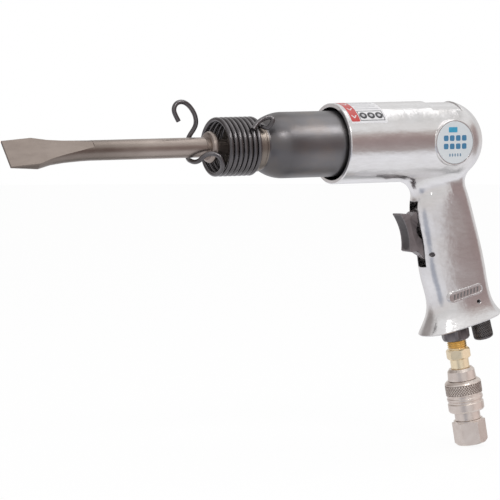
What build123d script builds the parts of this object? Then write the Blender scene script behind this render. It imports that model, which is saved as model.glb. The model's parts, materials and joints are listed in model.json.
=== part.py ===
"""Pneumatic air hammer with a flat chisel: every separate piece as its own solid.

Frame: the bore of the tool is the X axis and the chisel points to -X. The origin is on the bore,
where the round wall of the handle's housing starts at its front. +Z is up and the grip hangs down.
Millimetres.
"""
import os
from math import atan2, cos, radians, sin, sqrt

from build123d import *

os.makedirs("parts", exist_ok=True)

# ---- housing ----
HOUSING_R = 26.0             # straight front stretch
STRAIGHT_X = 46.0            # where the casting's draft starts
REAR_R = 26.2                # at the rear end
RIM_SOFT = 0.5               # chamfer in front of the round wall
DOME_X = 84.0                # centre of the round rear end
EXHAUST_R = 23.5             # inside of the open front rim, around the barrel
EXHAUST_END = 34.0
THREAD_R = 20.6              # where the barrel screws in
CHAMBER_X = 60.0             # rear end of the barrel, start of the valve chamber
CHAMBER_R = 17.6
CHAMBER_END = 80.0
LABEL_X = (2.0, 29.0)
LABEL_ARC = (78.0, 70.0)     # first angle about the bore and sweep, degrees
LABEL_T = 0.25
PAD_X = (67.0, 89.5)         # shallow cast pocket on the top of the housing
PAD_ARC = (51.0, 78.0)
PAD_DEPTH = 1.2
BADGE_X = 77.0
BADGE_R = 13.7
BOSS_R = 15.0
BOSS_FACE = 26.6             # distance of the boss face from the bore
BADGE_T = 0.9

# ---- grip, in its own frame: s runs to the rear, depth runs down the grip ----
GRIP_TILT = 15.0
GRIP_O = (82.0, 0.0, -30.0)
BASE_D = 90.5
# depth, front edge, rear edge, front radius, rear radius
GRIP = [
    (-16.0, -23.0, 17.0, 11.0, 14.0),
    (2.0, -21.6, 16.9, 11.0, 14.0),
    (25.0, -25.0, 18.4, 11.0, 14.0),
    (45.0, -26.8, 18.8, 11.2, 14.0),
    (62.0, -27.0, 18.2, 11.5, 14.0),
    (75.0, -27.7, 17.6, 12.0, 14.2),
    (83.0, -31.6, 18.6, 13.6, 15.6),
    (90.5, -37.4, 22.4, 16.2, 18.4),
]
SIDE_R = 100.0               # bulge of the grip's flanks
SLOT_D = (3.4, 46.7)
SLOT_BACK = -12.0
SLOT_W = 9.8
WEB_FILLET = 11.0            # between the grip and the housing
RISER_X = 80.5               # air passage from the throttle up to the valve
CROSS_D = 64.0               # passage from the inlet to the regulator
PLATE_S, PLATE_D = -6.3, 69.8          # raised blank plate on the near side of the grip
PLATE_L, PLATE_H = 27.0, 6.6
PLATE_FACE = 14.7
PLATE_RIM, PLATE_RIM_T = 0.9, 0.5
EDGE_SOFT = 0.7

# ---- trigger and throttle ----
PIVOT_S, PIVOT_D = -21.6, 39.25
PIVOT_R = 1.6
PIVOT_L = 6.2                # half length of the pin
STEM_D = 12.5                # depth of the throttle valve's axis
STEM_TIP = -16.05
STEM_R = 2.5
BUSH_BORE = 2.55
BUSH_R = 5.95
THROTTLE_R = 6.0
THROTTLE_END = 13.0
TRIGGER_W = 10.8
WEB_W = 8.6

# ---- air regulator ----
REG_S = 8.0
REG_R = 6.4
REG_BORE = 6.45
REG_TOP = 58.0
REG_GROOVE_D = 78.0
REG_PIN_S = 1.55
REG_PIN_R = 1.35
KNOB_R = 6.55
KNOB_END = 106.3
KNOB_KNURL = (91.4, 104.6)
REG_PIN_L = 15.6             # half length of the pin's hole

# ---- barrel ----
NOSE_X = -72.0
SHANK_BORE = 5.15
PISTON_BORE = 9.5
BORE_X = -32.0
BARREL_R = 21.15
NECK_R = 16.4
PASSAGE_RAD, PASSAGE_R = 15.2, 1.3
PIN_RAD, PIN_R = 14.2, 1.45
PASSAGES = (90, 210, 330)
NECK_END_X = -56.4
DOME_MID = (-47.4, 19.1)
DOME_END_X = -37.5
SEAL_X, SEAL_FLOOR = 53.0, 18.6
PISTON_X, PISTON_R = -29.75, 9.45

# ---- valve stack ----
VALVE_R = 17.5
SEAT_X, BLOCK_X, BLOCK_END = 60.05, 65.05, 77.0
CAVITY_R, CAVITY_T = 10.6, 2.3
PLATE_T = 1.2

# ---- retaining spring ----
WIRE_R = 1.5
COIL_R = 17.3
COIL_X = (-86.0, -59.8)
COIL_START = 250.0           # angle of the front end about the bore, degrees
COIL_TURNS = 7.625
COIL_PITCH = (COIL_X[1] - COIL_X[0]) / COIL_TURNS
COIL_REAR = COIL_START + 360 * COIL_TURNS
GROOVE_TURNS = 4.4
# points of the thumb hook, from the front coil around the chisel and up
HOOK = [(-88.0, -13.4, -8.2), (-90.3, -12.3, -4.7), (-94.8, -9.9, -3.7), (-98.1, -8.6, -5.0),
        (-100.5, -7.2, -7.6), (-102.0, -4.5, -8.8), (-102.7, 0.4, -8.4), (-102.1, 5.2, -7.0),
        (-101.3, 8.6, -2.0), (-100.9, 8.6, 3.0), (-99.3, 7.2, 8.0), (-96.7, 5.4, 13.6),
        (-97.3, 4.0, 18.2), (-101.0, 2.6, 24.2), (-105.2, 1.6, 27.6), (-109.8, 0.8, 28.8),
        (-113.5, 0.3, 27.4), (-115.0, 0.0, 24.1), (-113.8, 0.0, 20.4), (-111.8, 0.0, 16.8)]
HOOK_END_WAY = (0.5, 0.0, -0.87)
# points of the eye that the rear end of the wire is bent into
EYE = [(-58.9, -13.4, 12.9), (-56.6, -15.8, 12.2), (-54.8, -17.2, 14.4), (-53.6, -17.4, 17.2),
       (-54.4, -16.6, 18.6), (-57.6, -15.4, 18.3), (-62.0, -15.6, 16.4), (-68.2, -17.6, 11.3)]
EYE_END_WAY = (-0.66, -0.4, -0.63)

# ---- chisel ----
ROD_R = 6.35
COLLAR_R = 10.0
COLLAR_X = (-91.7, -86.9)
SHANK_R = 5.1
SHANK_END = -45.0
FLAT_X = -174.0              # where the forged blade starts
# x, width, thickness, width of the flat, drop below the bore: from the round rod to the cutting edge
BLADE = [
    (FLAT_X + 1, 12.6, 12.1, 3.4, 0.0),
    (-183.75, 13.2, 10.6, 7.6, 0.15),
    (-193.5, 14.4, 8.8, 10.6, 0.35),
    (-203.25, 16.8, 7.2, 14.4, 0.6),
    (-213.0, 21.0, 5.6, 20.4, 0.9),
    (-232.3, 20.9, 1.5, 20.4, 1.05),
]
BLADE_LEAN = 41.6            # turn of the blade's width about the bore, from upright

# ---- inlet line: t runs down out of the base ----
INLET_O = (93.8, 0.0, -120.5)
INLET_TILT = 10.2
BUSHING_R, BUSHING_FLATS, BUSHING_TURN = 8.5, 17.0, 22.0
BUSHING_HEX = (2.6, 10.1)
NIPPLE_R, NIPPLE_FLATS, NIPPLE_TURN = 6.45, 14.3, 15.0
PLUG_R, PLUG_NECK_R = 5.8, 4.45
BODY_R = 8.4
BALL_T, BALL_R, BALL_RAD = 41.5, 1.96, 6.43
SLEEVE_R = 12.0
SLEEVE_KNURL = (39.6, 46.2)
KNURL_DEPTH = 0.3            # the knurled bands are cut down to the knurl's roots
SNAP_T = (56.0, 57.0)
TAIL_FLATS, TAIL_END = 19.0, 80.0
HOSE_R, HOSE_L = 5.75, 11.0


def direction(tilt):
    """Downward direction that leans to the rear by tilt degrees."""
    return (sin(radians(tilt)), 0.0, -cos(radians(tilt)))


def shifted(origin, way, distance):
    return tuple(o + distance * w for o, w in zip(origin, way))


DOWN = direction(GRIP_TILT)
REAR = (cos(radians(GRIP_TILT)), 0.0, sin(radians(GRIP_TILT)))
SIDE = Plane(origin=GRIP_O, x_dir=REAR, z_dir=(0, -1, 0))      # local (s, -depth)
INLET_WAY = direction(INLET_TILT)
INLET = Plane(origin=INLET_O, x_dir=INLET_WAY, z_dir=(0, -1, 0))
INLET_AXIS = Axis(INLET_O, INLET_WAY)
REG_O = shifted(GRIP_O, REAR, REG_S)
REG = Plane(origin=REG_O, x_dir=DOWN, z_dir=(0, -1, 0))        # local (depth, radius)
REG_AXIS = Axis(REG_O, DOWN)
STEM_O = shifted(GRIP_O, DOWN, STEM_D)
STEM = Plane(origin=STEM_O, x_dir=REAR, z_dir=(0, -1, 0))      # local (s, radius)
STEM_AXIS = Axis(STEM_O, REAR)


def at_depth(depth):
    """Plane square to the grip at this depth, local x to the rear."""
    return Plane(origin=shifted(GRIP_O, DOWN, depth), x_dir=REAR, z_dir=DOWN)


def around(angle):
    """Plane through the bore whose second axis points out at this angle."""
    a = radians(angle)
    return Plane(origin=(0, 0, 0), x_dir=(1, 0, 0), z_dir=(0, -sin(a), cos(a)))


def lathe(outline, plane=Plane.XZ, axis=Axis.X, mode=Mode.ADD, arc=360.0):
    """Turn a closed outline of (along, radius) points about an axis, in the open part."""
    with BuildSketch(plane) as profile:
        with BuildLine():
            Polyline(*outline, close=True)
        make_face()
    revolve(profile.sketch, axis=axis, revolution_arc=arc, mode=mode)


def rod(plane, place, radius, amount, mode=Mode.ADD, both=False):
    """A round bar or hole from a point of the plane, along the plane's normal."""
    with BuildSketch(plane) as disc:
        with Locations(place):
            Circle(radius)
    extrude(disc.sketch, amount=amount, both=both, mode=mode)


def hexagon(plane, flats, amount, mode=Mode.ADD, turn=0.0):
    with BuildSketch(plane) as six:
        RegularPolygon(flats / 2, 6, major_radius=False, rotation=turn)
    extrude(six.sketch, amount=amount, mode=mode)


def ring(label, plane, axis, along, radius, wire):
    """An O-ring about an axis."""
    with BuildPart() as body:
        with BuildSketch(plane):
            with Locations((along, radius)):
                Circle(wire)
        revolve(axis=axis)
    save(label, body)


def ball_way(angle):
    """Direction square to the inlet line at this angle around it."""
    a, tilt = radians(angle), radians(INLET_TILT)
    return (cos(a) * cos(tilt), sin(a), cos(a) * sin(tilt))


def square_to(origin, way, distance):
    return Plane(origin=shifted(origin, way, distance), x_dir=(0, 1, 0), z_dir=way)


def helix_on(plane, pitch, length, radius):
    """A right-hand helix that starts on the plane's first axis and climbs its normal."""
    return plane.location * Edge.make_helix(pitch, length, radius)


def wire_end(path, radius):
    """Round section of a wire, square to the start of its path."""
    with BuildSketch(Plane(path @ 0, z_dir=path % 0)) as end:
        Circle(radius)
    return end.sketch


def coil(label, origin, way, radius, wire, length, turns):
    """A compression spring that starts at origin and runs along way."""
    path = helix_on(Plane(origin=origin, x_dir=(0, 1, 0), z_dir=way), length / turns, length, radius)
    with BuildPart() as body:
        sweep(wire_end(path, wire), path=path, is_frenet=True)
    save(label, body)


def save(label, body):
    body.part.label = label
    export_step(body.part, f"parts/{label}.step")


def thread(first, last, crest, root, pitch):
    """Outline points of a thread shown as rings, from first to last along the axis."""
    count = int((last - first) / pitch)
    step = (last - first) / count
    points = []
    for i in range(count):
        points += [(first + i * step, root), (first + (i + 0.5) * step, crest)]
    return points + [(last, root)]


def grip_section(depth, front, rear, front_r, rear_r):
    """Outline of the grip at one depth: a round front edge, a wider round back and bulged flanks."""
    f_s, r_s = front + front_r, rear - rear_r
    # centre of a flank's arc, which runs into both round edges without a kink
    f_gap, r_gap = SIDE_R - front_r, SIDE_R - rear_r
    c_s = (f_gap**2 - r_gap**2 + r_s**2 - f_s**2) / (2 * (r_s - f_s))
    c_y = sqrt(r_gap**2 - (r_s - c_s)**2)
    ends = atan2(c_y, f_s - c_s), atan2(c_y, r_s - c_s)
    flank = [(c_s + SIDE_R * cos(a), SIDE_R * sin(a) - c_y) for a in (ends[0], sum(ends) / 2, ends[1])]
    other = [(s, -y) for s, y in flank]
    with BuildSketch(at_depth(depth)) as section:
        with BuildLine():
            ThreePointArc(flank[0], (front, 0), other[0])
            ThreePointArc(*other)
            ThreePointArc(other[2], (rear, 0), flank[2])
            ThreePointArc(*reversed(flank))
        make_face()
    return section.sketch


def coil_plane(x, angle, sign):
    """Plane square to the bore at x, its first axis at this angle about the bore."""
    a = radians(angle)
    return Plane(origin=(x, 0, 0), x_dir=(0, cos(a), sin(a)), z_dir=(sign, 0, 0))


# ================= handle and housing =================
with BuildPart() as housing:
    with BuildSketch(Plane.XZ):
        with BuildLine():
            Polyline((DOME_X + REAR_R, 0), (-RIM_SOFT, 0), (-RIM_SOFT, HOUSING_R - RIM_SOFT),
                     (0, HOUSING_R), (STRAIGHT_X, HOUSING_R), (DOME_X, REAR_R))
            RadiusArc((DOME_X, REAR_R), (DOME_X + REAR_R, 0), REAR_R)
        make_face()
    revolve(axis=Axis.X)
    loft([grip_section(*row) for row in GRIP])
    # softened lower edge of the grip
    depth, front, rear, front_r, rear_r = GRIP[-1]
    loft([grip_section(*GRIP[-1]),
          grip_section(depth + EDGE_SOFT, front + EDGE_SOFT, rear - EDGE_SOFT, front_r - EDGE_SOFT,
                       rear_r - EDGE_SOFT)], ruled=True)
    web = housing.edges().filter_by(
        lambda e: -40 < e.center().Z < -8 and 40 < e.center().X < 112 and e.length > 5)
    fillet(web, WEB_FILLET)
    # round boss for the badge, on the near side
    lathe([(0, 0), (0, BOSS_R), (BOSS_FACE - 0.6, BOSS_R), (BOSS_FACE, BOSS_R - 0.6), (BOSS_FACE, 0)],
          plane=Plane(origin=(BADGE_X, 0, 0), x_dir=(0, -1, 0), z_dir=(0, 0, 1)),
          axis=Axis((BADGE_X, 0, 0), (0, -1, 0)))
    # raised blank plate low on the near side of the grip
    with BuildSketch(SIDE) as plate:
        with Locations((PLATE_S, -PLATE_D)):
            SlotOverall(PLATE_L, PLATE_H)
    extrude(plate.sketch, amount=PLATE_FACE - PLATE_RIM_T)
    with BuildSketch(SIDE) as plate_rim:
        with Locations((PLATE_S, -PLATE_D)):
            SlotOverall(PLATE_L, PLATE_H)
            SlotOverall(PLATE_L - 2 * PLATE_RIM, PLATE_H - 2 * PLATE_RIM, mode=Mode.SUBTRACT)
    extrude(plate_rim.sketch, amount=PLATE_FACE)

    # bore of the housing, from the open front rim to the chamber behind the valve
    lathe([(-1, 0), (-1, EXHAUST_R), (EXHAUST_END, EXHAUST_R), (EXHAUST_END + 2, THREAD_R),
           (CHAMBER_X, THREAD_R), (CHAMBER_X, CHAMBER_R), (CHAMBER_END, CHAMBER_R),
           (CHAMBER_END + 6, CHAMBER_R - 6), (CHAMBER_END + 6, 0)], mode=Mode.SUBTRACT)
    # shallow pockets for the label and on the top of the casting
    lathe([(LABEL_X[0], HOUSING_R - LABEL_T), (LABEL_X[1], HOUSING_R - LABEL_T),
           (LABEL_X[1], HOUSING_R + 1), (LABEL_X[0], HOUSING_R + 1)],
          plane=around(LABEL_ARC[0]), arc=LABEL_ARC[1], mode=Mode.SUBTRACT)
    lathe([(PAD_X[0], REAR_R - PAD_DEPTH), (PAD_X[1], REAR_R - PAD_DEPTH),
           (PAD_X[1], REAR_R + 1), (PAD_X[0], REAR_R + 1)],
          plane=around(PAD_ARC[0]), arc=PAD_ARC[1], mode=Mode.SUBTRACT)
    # seat of the badge
    rod(Plane(origin=(BADGE_X, -BOSS_FACE + BADGE_T - 0.2, 0), z_dir=(0, -1, 0)), (0, 0),
        BADGE_R + 0.1, 3, mode=Mode.SUBTRACT)
    # trigger slot and its pin hole
    with BuildSketch(SIDE) as slot:
        with Locations(((SLOT_BACK - 40) / 2, -sum(SLOT_D) / 2)):
            Rectangle(40 + SLOT_BACK, SLOT_D[1] - SLOT_D[0])
    extrude(slot.sketch, amount=SLOT_W / 2, both=True, mode=Mode.SUBTRACT)
    rod(SIDE, (PIVOT_S, -PIVOT_D), PIVOT_R + 0.02, 20, mode=Mode.SUBTRACT, both=True)
    # throttle chamber, air passage up to the valve, regulator bore, inlet and cross passage
    lathe([(SLOT_BACK - 1, 0), (SLOT_BACK - 1, THROTTLE_R), (THROTTLE_END, THROTTLE_R),
           (THROTTLE_END, 0)], plane=STEM, axis=STEM_AXIS, mode=Mode.SUBTRACT)
    rod(Plane(origin=(RISER_X, 0, -44)), (0, 0), 3.0, 29, mode=Mode.SUBTRACT)
    lathe([(STEM_D, 0), (STEM_D, 4.5), (REG_TOP - 1, 4.5), (REG_TOP - 1, REG_BORE),
           (BASE_D - 1.2, REG_BORE), (BASE_D - 1.2, KNOB_R + 0.8), (BASE_D + 9, KNOB_R + 0.8),
           (BASE_D + 9, 0)], plane=REG, axis=REG_AXIS, mode=Mode.SUBTRACT)
    lathe([(-29, 0), (-29, 6), (-17, 6), (-17, BUSHING_R + 0.05), (-1, BUSHING_R + 0.05),
           (-1, 11.2), (12, 11.2), (12, 0)], plane=INLET, axis=INLET_AXIS, mode=Mode.SUBTRACT)
    lathe([(-13, 0), (-13, 3.5), (REG_S, 3.5), (REG_S, 0)], mode=Mode.SUBTRACT,
          plane=Plane(origin=shifted(GRIP_O, DOWN, CROSS_D), x_dir=REAR, z_dir=(0, -1, 0)),
          axis=Axis(shifted(GRIP_O, DOWN, CROSS_D), REAR))
    # hole of the pin that keeps the regulator in
    rod(SIDE, (REG_PIN_S, -REG_GROOVE_D), REG_PIN_R + 0.02, REG_PIN_L, mode=Mode.SUBTRACT, both=True)
save("handle_housing", housing)

with BuildPart() as badge:
    rod(Plane(origin=(BADGE_X, -BOSS_FACE + BADGE_T - 0.2, 0), z_dir=(0, -1, 0)), (0, 0),
        BADGE_R, BADGE_T)
    chamfer(badge.edges().sort_by(Axis.Y)[0], 0.3)
save("badge", badge)

with BuildPart() as label:
    lathe([(LABEL_X[0], HOUSING_R - LABEL_T), (LABEL_X[1], HOUSING_R - LABEL_T),
           (LABEL_X[1], HOUSING_R), (LABEL_X[0], HOUSING_R)],
          plane=around(LABEL_ARC[0]), arc=LABEL_ARC[1])
save("warning_label", label)

# ================= barrel and striking parts =================
with BuildPart() as barrel:
    with BuildSketch(Plane.XZ):
        with BuildLine():
            Polyline((DOME_END_X, BARREL_R), (EXHAUST_END, BARREL_R), (EXHAUST_END + 1, THREAD_R - 0.05),
                     (SEAL_X - 1.3, THREAD_R - 0.05), (SEAL_X - 1.3, SEAL_FLOOR),
                     (SEAL_X + 1.3, SEAL_FLOOR), (SEAL_X + 1.3, THREAD_R - 0.05),
                     (CHAMBER_X, THREAD_R - 0.05), (CHAMBER_X, PISTON_BORE), (BORE_X, PISTON_BORE),
                     (BORE_X, SHANK_BORE), (NOSE_X + 2, SHANK_BORE), (NOSE_X, SHANK_BORE + 2),
                     (NOSE_X, NECK_R - 1.6), (NOSE_X + 1.6, NECK_R), (NECK_END_X, NECK_R),
                     (NECK_END_X + 0.8, NECK_R - 0.8), (NECK_END_X + 3, NECK_R - 0.8))
            ThreePointArc((NECK_END_X + 3, NECK_R - 0.8), DOME_MID, (DOME_END_X, BARREL_R))
        make_face()
    revolve(axis=Axis.X)
    # coarse groove that the retaining spring is screwed onto
    groove = helix_on(coil_plane(COIL_X[1], COIL_REAR, -1), COIL_PITCH, COIL_PITCH * GROOVE_TURNS, COIL_R)
    sweep(wire_end(groove, WIRE_R + 0.05), path=groove, is_frenet=True, mode=Mode.SUBTRACT)
    # exhaust ports through the wall, and air passages along it to the front of the bore
    for x in (10.0, 22.0):
        for angle in range(0, 360, 60):
            rod(Plane(origin=(x, 0, 0), z_dir=(0, cos(radians(angle)), sin(radians(angle)))), (0, 0),
                2.0, BARREL_R + 1, mode=Mode.SUBTRACT)
    for angle in PASSAGES:
        y, z = PASSAGE_RAD * cos(radians(angle)), PASSAGE_RAD * sin(radians(angle))
        rod(Plane(origin=(BORE_X + 2, y, z), z_dir=(1, 0, 0)), (0, 0), PASSAGE_R, 100, mode=Mode.SUBTRACT)
        rod(Plane(origin=(BORE_X + 3.4, 0, 0), z_dir=(0, y, z)), (0, 0), PASSAGE_R, PASSAGE_RAD,
            mode=Mode.SUBTRACT)
    for y in (-PIN_RAD, PIN_RAD):
        rod(Plane(origin=(CHAMBER_X - 3.5, y, 0), z_dir=(1, 0, 0)), (0, 0), PIN_R + 0.03, 9,
            mode=Mode.SUBTRACT)
save("barrel", barrel)

ring("barrel_seal", Plane.XZ, Axis.X, SEAL_X, 19.6, 0.95)

with BuildPart() as piston:
    lathe([(PISTON_X, 0), (PISTON_X, 8.2), (PISTON_X + 1.2, PISTON_R), (PISTON_X + 5, PISTON_R),
           (PISTON_X + 5, 8.9), (PISTON_X + 6.5, 8.9), (PISTON_X + 6.5, PISTON_R),
           (PISTON_X + 19.5, PISTON_R), (PISTON_X + 19.5, 8.9), (PISTON_X + 21, 8.9),
           (PISTON_X + 21, PISTON_R), (PISTON_X + 24.8, PISTON_R), (PISTON_X + 26, 8.2),
           (PISTON_X + 26, 5), (PISTON_X + 20, 4.4), (PISTON_X + 20, 0)])
save("piston", piston)

# ---- valve: seat, thin plate that flips, block, two pins and the washer that clamps the stack ----
def valve_holes(first, length, passages=True):
    for y in (-PIN_RAD, PIN_RAD):
        rod(Plane(origin=(first - 1, y, 0), z_dir=(1, 0, 0)), (0, 0), PIN_R + 0.03, length + 1,
            mode=Mode.SUBTRACT)
    if passages:
        for angle in PASSAGES:
            y, z = PASSAGE_RAD * cos(radians(angle)), PASSAGE_RAD * sin(radians(angle))
            rod(Plane(origin=(first - 1, y, z), z_dir=(1, 0, 0)), (0, 0), PASSAGE_R, length + 1,
                mode=Mode.SUBTRACT)


with BuildPart() as valve_seat:
    lathe([(SEAT_X, 4), (SEAT_X, VALVE_R), (BLOCK_X - 0.05, VALVE_R), (BLOCK_X - 0.05, 4)])
    valve_holes(SEAT_X, BLOCK_X - SEAT_X + 1)
save("valve_seat", valve_seat)

with BuildPart() as valve_block:
    lathe([(BLOCK_X, CAVITY_R), (BLOCK_X, VALVE_R), (BLOCK_END, VALVE_R), (BLOCK_END, 0),
           (BLOCK_X + CAVITY_T, 0), (BLOCK_X + CAVITY_T, CAVITY_R)])
    valve_holes(BLOCK_X, 5, passages=False)
    for angle in PASSAGES:
        y, z = PASSAGE_RAD * cos(radians(angle)), PASSAGE_RAD * sin(radians(angle))
        rod(Plane(origin=(BLOCK_X - 1, y, z), z_dir=(1, 0, 0)), (0, 0), PASSAGE_R, 5, mode=Mode.SUBTRACT)
        rod(Plane(origin=(BLOCK_X + 3.2, 0, 0), z_dir=(0, y, z)), (0, 0), 1.0, PASSAGE_RAD,
            mode=Mode.SUBTRACT)
    with BuildSketch(Plane(origin=(BLOCK_X + CAVITY_T - 0.5, 0, 0), z_dir=(1, 0, 0))) as ports:
        with PolarLocations(7.0, 6):
            Circle(1.6)
    extrude(ports.sketch, amount=20, mode=Mode.SUBTRACT)
save("valve_block", valve_block)

with BuildPart() as valve_plate:
    lathe([(BLOCK_X + 0.1, 0), (BLOCK_X + 0.1, CAVITY_R - 0.08), (BLOCK_X + 0.1 + PLATE_T, CAVITY_R - 0.08),
           (BLOCK_X + 0.1 + PLATE_T, 0)])
    with BuildSketch(Plane(origin=(BLOCK_X - 0.5, 0, 0), z_dir=(1, 0, 0))) as vents:
        with PolarLocations(9.0, 8, start_angle=22.5):
            Circle(0.8)
    extrude(vents.sketch, amount=4, mode=Mode.SUBTRACT)
save("valve_plate", valve_plate)

with BuildPart() as valve_pins:
    for y in (-PIN_RAD, PIN_RAD):
        rod(Plane(origin=(CHAMBER_X - 3.3, y, 0), z_dir=(1, 0, 0)), (0, 0), PIN_R, 11.5)
save("valve_pins", valve_pins)

with BuildPart() as clamp_washer:
    lathe([(BLOCK_END + 0.02, 15.2), (BLOCK_END + 0.02, 16.6), (CHAMBER_END + 0.9, 13.2),
           (CHAMBER_END + 0.9, 11.8)])
save("clamp_washer", clamp_washer)

# ================= retaining spring =================
def coil_way(angle, sign):
    """Direction of the wire at this angle about the bore; sign +1 runs to the rear."""
    a, rise = radians(angle), COIL_PITCH / 360 / radians(1) / COIL_R
    return (sign * rise, -sign * sin(a), sign * cos(a))


with BuildPart() as retainer:
    turns = helix_on(coil_plane(COIL_X[0], COIL_START, 1), COIL_PITCH, COIL_X[1] - COIL_X[0], COIL_R)
    sweep(wire_end(turns, WIRE_R), path=turns, is_frenet=True)
    with BuildLine() as hook:
        Spline((COIL_X[0], COIL_R * cos(radians(COIL_START)), COIL_R * sin(radians(COIL_START))),
               *HOOK, tangents=(coil_way(COIL_START, -1), HOOK_END_WAY), tangent_scalars=(1.0, 1.0))
    sweep(wire_end(hook.line, WIRE_R), path=hook.line, transition=Transition.ROUND)
    with BuildLine() as eye:
        Spline((COIL_X[1], COIL_R * cos(radians(COIL_REAR)), COIL_R * sin(radians(COIL_REAR))),
               *EYE, tangents=(coil_way(COIL_REAR, 1), EYE_END_WAY), tangent_scalars=(1.0, 1.0))
    sweep(wire_end(eye.line, WIRE_R), path=eye.line, transition=Transition.ROUND)
save("retainer_spring", retainer)

# ================= chisel =================
def blade_section(x, width, thick, flat, drop):
    """Outline of the blade square to the bore: two flats with rounded edges between them, the width
    turned by the blade's lean."""
    a = radians(BLADE_LEAN)
    with BuildSketch(Plane(origin=(x, 0, -drop), x_dir=(0, sin(a), cos(a)), z_dir=(-1, 0, 0))) as section:
        with BuildLine():
            Line((-flat / 2, thick / 2), (flat / 2, thick / 2))
            ThreePointArc((flat / 2, thick / 2), (width / 2, 0), (flat / 2, -thick / 2))
            Line((flat / 2, -thick / 2), (-flat / 2, -thick / 2))
            ThreePointArc((-flat / 2, -thick / 2), (-width / 2, 0), (-flat / 2, thick / 2))
        make_face()
    return section.sketch


with BuildPart() as chisel:
    lathe([(FLAT_X, 0), (FLAT_X, ROD_R), (COLLAR_X[0] - 2.6, ROD_R), (COLLAR_X[0] - 1.9, ROD_R - 0.7),
           (COLLAR_X[0] - 0.4, ROD_R - 0.7), (COLLAR_X[0], ROD_R), (COLLAR_X[0], COLLAR_R - 1.8),
           (COLLAR_X[0] + 0.6, COLLAR_R - 0.6), (COLLAR_X[0] + 1.8, COLLAR_R),
           (COLLAR_X[1] - 1.8, COLLAR_R), (COLLAR_X[1] - 0.6, COLLAR_R - 0.6),
           (COLLAR_X[1], COLLAR_R - 1.8), (COLLAR_X[1], SHANK_R), (SHANK_END - 1, SHANK_R),
           (SHANK_END, SHANK_R - 1), (SHANK_END, 0)])
    # the forged blade: round, flattening to the shoulder, then ground down to the edge
    loft([blade_section(*row) for row in BLADE], ruled=True)
save("chisel", chisel)

# ================= trigger and throttle valve =================
with BuildPart() as trigger:
    with BuildSketch(SIDE):
        with BuildLine():
            Spline((-36.0, -7.6), (-34.2, -13.5), (-33.3, -21.0), (-33.9, -27.5), (-35.4, -32.8))
            Polyline((-35.4, -32.8), (-34.6, -33.8), (-27.6, -34.6), (-29.6, -30.0), (-30.4, -22.0),
                     (-30.2, -13.0), (-28.8, -11.5), (-29.8, -9.4), (-36.0, -7.6))
        make_face()
    extrude(amount=TRIGGER_W / 2, both=True)
    fillet(trigger.edges().filter_by(Axis.Y).group_by(Axis.X)[0], 0.5)
    with BuildSketch(SIDE):
        with BuildLine():
            Polyline((-31.0, -12.6), (-24.5, -9.9), (-18.2, -10.6), (-16.6, -11.2), (-16.1, -12.5),
                     (-16.6, -13.8), (-18.4, -15.6))
            Spline((-18.4, -15.6), (-24.6, -17.6), (-26.6, -21.5), (-25.4, -26.5), (-20.6, -32.0),
                   (-18.2, -37.6))
            Polyline((-18.2, -37.6), (-18.4, -41.0), (-20.4, -42.6), (-23.0, -42.4), (-25.2, -39.8),
                     (-31.0, -33.8), (-31.0, -12.6))
        make_face()
    extrude(amount=WEB_W / 2, both=True)
    rod(SIDE, (PIVOT_S, -PIVOT_D), PIVOT_R + 0.05, 20, mode=Mode.SUBTRACT, both=True)
save("trigger", trigger)

with BuildPart() as trigger_pin:
    rod(SIDE, (PIVOT_S, -PIVOT_D), PIVOT_R, PIVOT_L, both=True)
save("trigger_pin", trigger_pin)

with BuildPart() as throttle_bush:
    lathe([(SLOT_BACK, BUSH_BORE), (SLOT_BACK, BUSH_R), (-10.6, BUSH_R), (-10.6, 4.6), (-9.2, 4.6),
           (-9.2, BUSH_R), (-3, BUSH_R), (-3, 3.4), (-8, 3.4), (-8, BUSH_BORE)], plane=STEM, axis=STEM_AXIS)
    for angle in range(0, 360, 90):
        a = radians(angle)
        out = (cos(a) * sin(radians(GRIP_TILT)), sin(a), -cos(a) * cos(radians(GRIP_TILT)))
        rod(Plane(origin=shifted(STEM_O, REAR, -5.4), z_dir=out), (0, 0), 1.6, 8, mode=Mode.SUBTRACT)
save("throttle_bush", throttle_bush)

with BuildPart() as throttle_valve:
    lathe([(STEM_TIP, 0), (STEM_TIP, STEM_R - 0.5), (STEM_TIP + 0.5, STEM_R), (-8.2, STEM_R),
           (-7.6, 1.6), (-2.95, 1.6), (-2.95, 3.0), (-2.2, 4.3), (-0.6, 4.3), (-0.6, 1.8), (3.0, 1.8),
           (3.4, 1.4), (3.4, 0)], plane=STEM, axis=STEM_AXIS)
save("throttle_valve", throttle_valve)

coil("throttle_spring", shifted(STEM_O, REAR, 0.05), REAR, 3.3, 0.5, THROTTLE_END - 0.7, 6)
ring("throttle_seal", STEM, STEM_AXIS, -9.9, 5.28, 0.65)

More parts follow.
